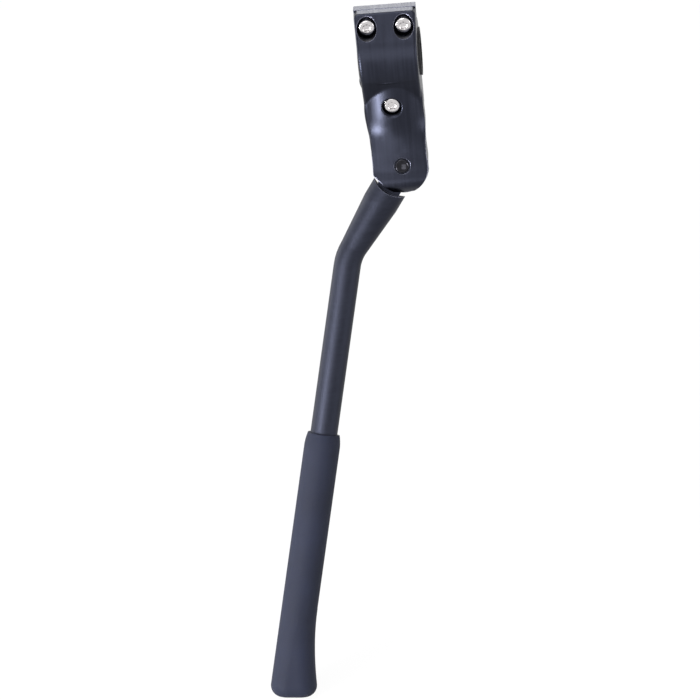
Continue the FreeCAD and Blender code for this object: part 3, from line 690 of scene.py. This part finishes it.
class KICKSTAND_OT_foot(KickstandOperator, bpy.types.Operator):
    """Finish the foot sleeve, its lock screw and the screw's insert"""

    bl_idname = "kickstand.foot"
    bl_label = "Foot"

    def execute(self, context):
        """Give the sleeve its moulded grain, and its lock screw and insert their metals."""
        colours, sizes = context.scene.kickstand_colours, context.scene.kickstand_sizes
        plastic = moulded_finish("sleeve_plastic", colours.sleeve, sizes.sleeve_edge_round)
        bronze = polished_finish("insert_bronze", colours.bronze, roughness=0.34)
        gloss = gloss_finish("lock_screw_black", colours.pin, roughness=0.32)
        finish_nodes(plastic, "foot_sleeve")
        finish_nodes(bronze, "foot_lock_insert")
        finish_nodes(gloss, "foot_lock_screw")
        return {"FINISHED"}


FLOOR_HALF = 4.0            # half of its side, in metres
FLOOR_GAP = 0.3 * MM        # under the lowest point of the foot
FLOOR_COLOUR = (0.86, 0.86, 0.86, 1.0)
FLOOR_WHITE = 0.94          # share of plain white in what the camera sees, the rest is lit


def make_floor():
    """A large white floor just under the foot, which keeps a faint shadow."""
    shape = bmesh.new()
    bmesh.ops.create_grid(shape, x_segments=2, y_segments=2, size=FLOOR_HALF)
    mesh = bpy.data.meshes.new("floor")
    shape.to_mesh(mesh)
    shape.free()
    floor = bpy.data.objects.new("floor", mesh)
    floor.location.z = CAD_BOX[0].z - FLOOR_GAP
    bpy.context.scene.collection.objects.link(floor)
    material = bpy.data.materials.new("floor_white")
    material.use_nodes = True
    tree = material.node_tree
    tree.nodes.clear()
    matte = tree.nodes.new("ShaderNodeBsdfDiffuse")
    matte.inputs["Color"].default_value = FLOOR_COLOUR
    white = tree.nodes.new("ShaderNodeEmission")
    white.inputs["Strength"].default_value = 1.0
    seen = seen_directly(tree)
    share = tree.nodes.new("ShaderNodeMath")
    share.operation = "MULTIPLY"
    share.inputs[1].default_value = FLOOR_WHITE
    mix = tree.nodes.new("ShaderNodeMixShader")
    output = tree.nodes.new("ShaderNodeOutputMaterial")
    tree.links.new(seen, share.inputs[0])
    tree.links.new(share.outputs["Value"], mix.inputs[0])
    tree.links.new(matte.outputs["BSDF"], mix.inputs[1])
    tree.links.new(white.outputs["Emission"], mix.inputs[2])
    tree.links.new(mix.outputs["Shader"], output.inputs["Surface"])
    mesh.materials.append(material)


def seen_directly(tree):
    """1 for what the camera sees straight, in a mirror or through glass."""
    path = tree.nodes.new("ShaderNodeLightPath")
    seen = path.outputs["Is Camera Ray"]
    for name in ("Is Glossy Ray", "Is Transmission Ray"):
        either = tree.nodes.new("ShaderNodeMath")
        either.operation = "MAXIMUM"
        tree.links.new(seen, either.inputs[0])
        tree.links.new(path.outputs[name], either.inputs[1])
        seen = either.outputs["Value"]
    return seen


def make_surroundings(scene):
    """White to the camera and in reflections, elsewhere a dim light that grows from below to above."""
    world = bpy.data.worlds.new("surroundings")
    scene.world = world
    world.use_nodes = True
    tree = world.node_tree
    tree.nodes.clear()
    lit = tree.nodes.new("ShaderNodeBackground")
    lit.inputs["Color"].default_value = (0.96, 0.97, 1.0, 1.0)
    height = tree.nodes.new("ShaderNodeSeparateXYZ")
    level = tree.nodes.new("ShaderNodeMapRange")
    for name, number in (("From Min", -0.35), ("From Max", 0.35), ("To Min", 0.15), ("To Max", 0.4)):
        level.inputs[name].default_value = number
    direction = tree.nodes.new("ShaderNodeTexCoord").outputs["Generated"]
    tree.links.new(direction, height.inputs["Vector"])
    tree.links.new(height.outputs["Z"], level.inputs["Value"])
    tree.links.new(level.outputs["Result"], lit.inputs["Strength"])
    white = tree.nodes.new("ShaderNodeBackground")
    white.inputs["Color"].default_value = (1.0, 1.0, 1.0, 1.0)
    white.inputs["Strength"].default_value = 1.0
    mix = tree.nodes.new("ShaderNodeMixShader")
    output = tree.nodes.new("ShaderNodeOutputWorld")
    tree.links.new(seen_directly(tree), mix.inputs[0])
    tree.links.new(lit.outputs["Background"], mix.inputs[1])
    tree.links.new(white.outputs["Background"], mix.inputs[2])
    tree.links.new(mix.outputs["Shader"], output.inputs["Surface"])


# Name, compass angle and height angle in degrees, distance, width, height, power in watts.
LAMPS = (
    ("softbox_near_left", -44.0, -2.0, 0.75, 0.20, 0.36, 12.0),
    ("softbox_left", -110.0, 4.0, 1.7, 1.5, 1.1, 24.0),
    ("softbox_behind", 180.0, 26.0, 2.1, 1.2, 0.7, 17.0),
    ("softbox_above", -60.0, 76.0, 1.8, 1.2, 1.0, 18.0),
    ("softbox_front", -14.0, 26.0, 2.2, 1.2, 1.3, 13.0),
    ("softbox_right", 76.0, 4.0, 1.8, 1.5, 1.2, 18.0),
)
LAMP_AIM = Vector((-0.03, -0.05, -0.12))


def make_lights(scene):
    """Soft panels round the stand, all facing one point on it."""
    for name, azimuth, elevation, distance, width, height, power in LAMPS:
        turn, rise = math.radians(azimuth), math.radians(elevation)
        out = Vector((math.sin(turn) * math.cos(rise), -math.cos(turn) * math.cos(rise),
                      math.sin(rise)))
        place = LAMP_AIM + distance * out
        lamp = bpy.data.lights.new(name, "AREA")
        lamp.shape = "RECTANGLE"
        lamp.size, lamp.size_y = width, height
        lamp.energy = power
        holder = bpy.data.objects.new(name, lamp)
        holder.location = place
        holder.rotation_mode = "QUATERNION"
        holder.rotation_quaternion = (LAMP_AIM - place).to_track_quat("-Z", "Y")
        holder.visible_camera = False
        scene.collection.objects.link(holder)


def make_camera(scene):
    """A long lens from the front, a little above."""
    view = scene.kickstand_view
    right = Vector((math.cos(view.azimuth), math.sin(view.azimuth), 0.0))
    ahead = Vector((-math.sin(view.azimuth), math.cos(view.azimuth), 0.0))
    up = ahead * math.sin(view.elevation) + Vector((0.0, 0.0, math.cos(view.elevation)))
    side = right * math.cos(view.roll) - up * math.sin(view.roll)
    top = right * math.sin(view.roll) + up * math.cos(view.roll)
    place = TARGET + side.cross(top) * view.distance
    aim = TARGET + side * TARGET_IN_VIEW[0] + top * TARGET_IN_VIEW[1]
    back = (place - aim).normalized()
    side = top.cross(back).normalized()
    top = back.cross(side)
    lens = bpy.data.cameras.new("camera")
    lens.lens = view.lens
    lens.sensor_width = 36.0
    lens.clip_start, lens.clip_end = 0.1, 50.0
    camera = bpy.data.objects.new("camera", lens)
    scene.collection.objects.link(camera)
    camera.matrix_world = Matrix.Translation(place) @ Matrix((side, top, back)).transposed().to_4x4()
    scene.camera = camera


OPERATORS = (
    KICKSTAND_OT_stage,
    KICKSTAND_OT_clamp,
    KICKSTAND_OT_liners,
    KICKSTAND_OT_screws,
    KICKSTAND_OT_hinge,
    KICKSTAND_OT_leg,
    KICKSTAND_OT_foot,
)


class KICKSTAND_PT_panel(bpy.types.Panel):
    """Lists the stand's settings and operators"""

    bl_label = "Kickstand"
    bl_idname = "KICKSTAND_PT_panel"
    bl_space_type = "VIEW_3D"
    bl_region_type = "UI"
    bl_category = "Kickstand"

    def draw(self, context):
        """Settings first, then one button for each operator."""
        for name, group in SETTINGS.items():
            box = self.layout.box()
            for prop in group.__annotations__:
                box.prop(getattr(context.scene, name), prop)
        for operator in OPERATORS:
            self.layout.operator(operator.bl_idname)


def register():
    """Register the classes and hang the settings on the scene."""
    for name, group in SETTINGS.items():
        bpy.utils.register_class(group)
        setattr(bpy.types.Scene, name, bpy.props.PointerProperty(type=group))
    for item in (*OPERATORS, KICKSTAND_PT_panel):
        bpy.utils.register_class(item)


def unregister():
    """Take everything off again."""
    for item in reversed((*OPERATORS, KICKSTAND_PT_panel)):
        bpy.utils.unregister_class(item)
    for name, group in SETTINGS.items():
        delattr(bpy.types.Scene, name)
        bpy.utils.unregister_class(group)


def main():
    """Register everything and build the looks, one operator after another."""
    register()
    for operator in OPERATORS:
        group, name = operator.bl_idname.split(".")
        getattr(getattr(bpy.ops, group), name)()


if __name__ == "__main__":
    main()
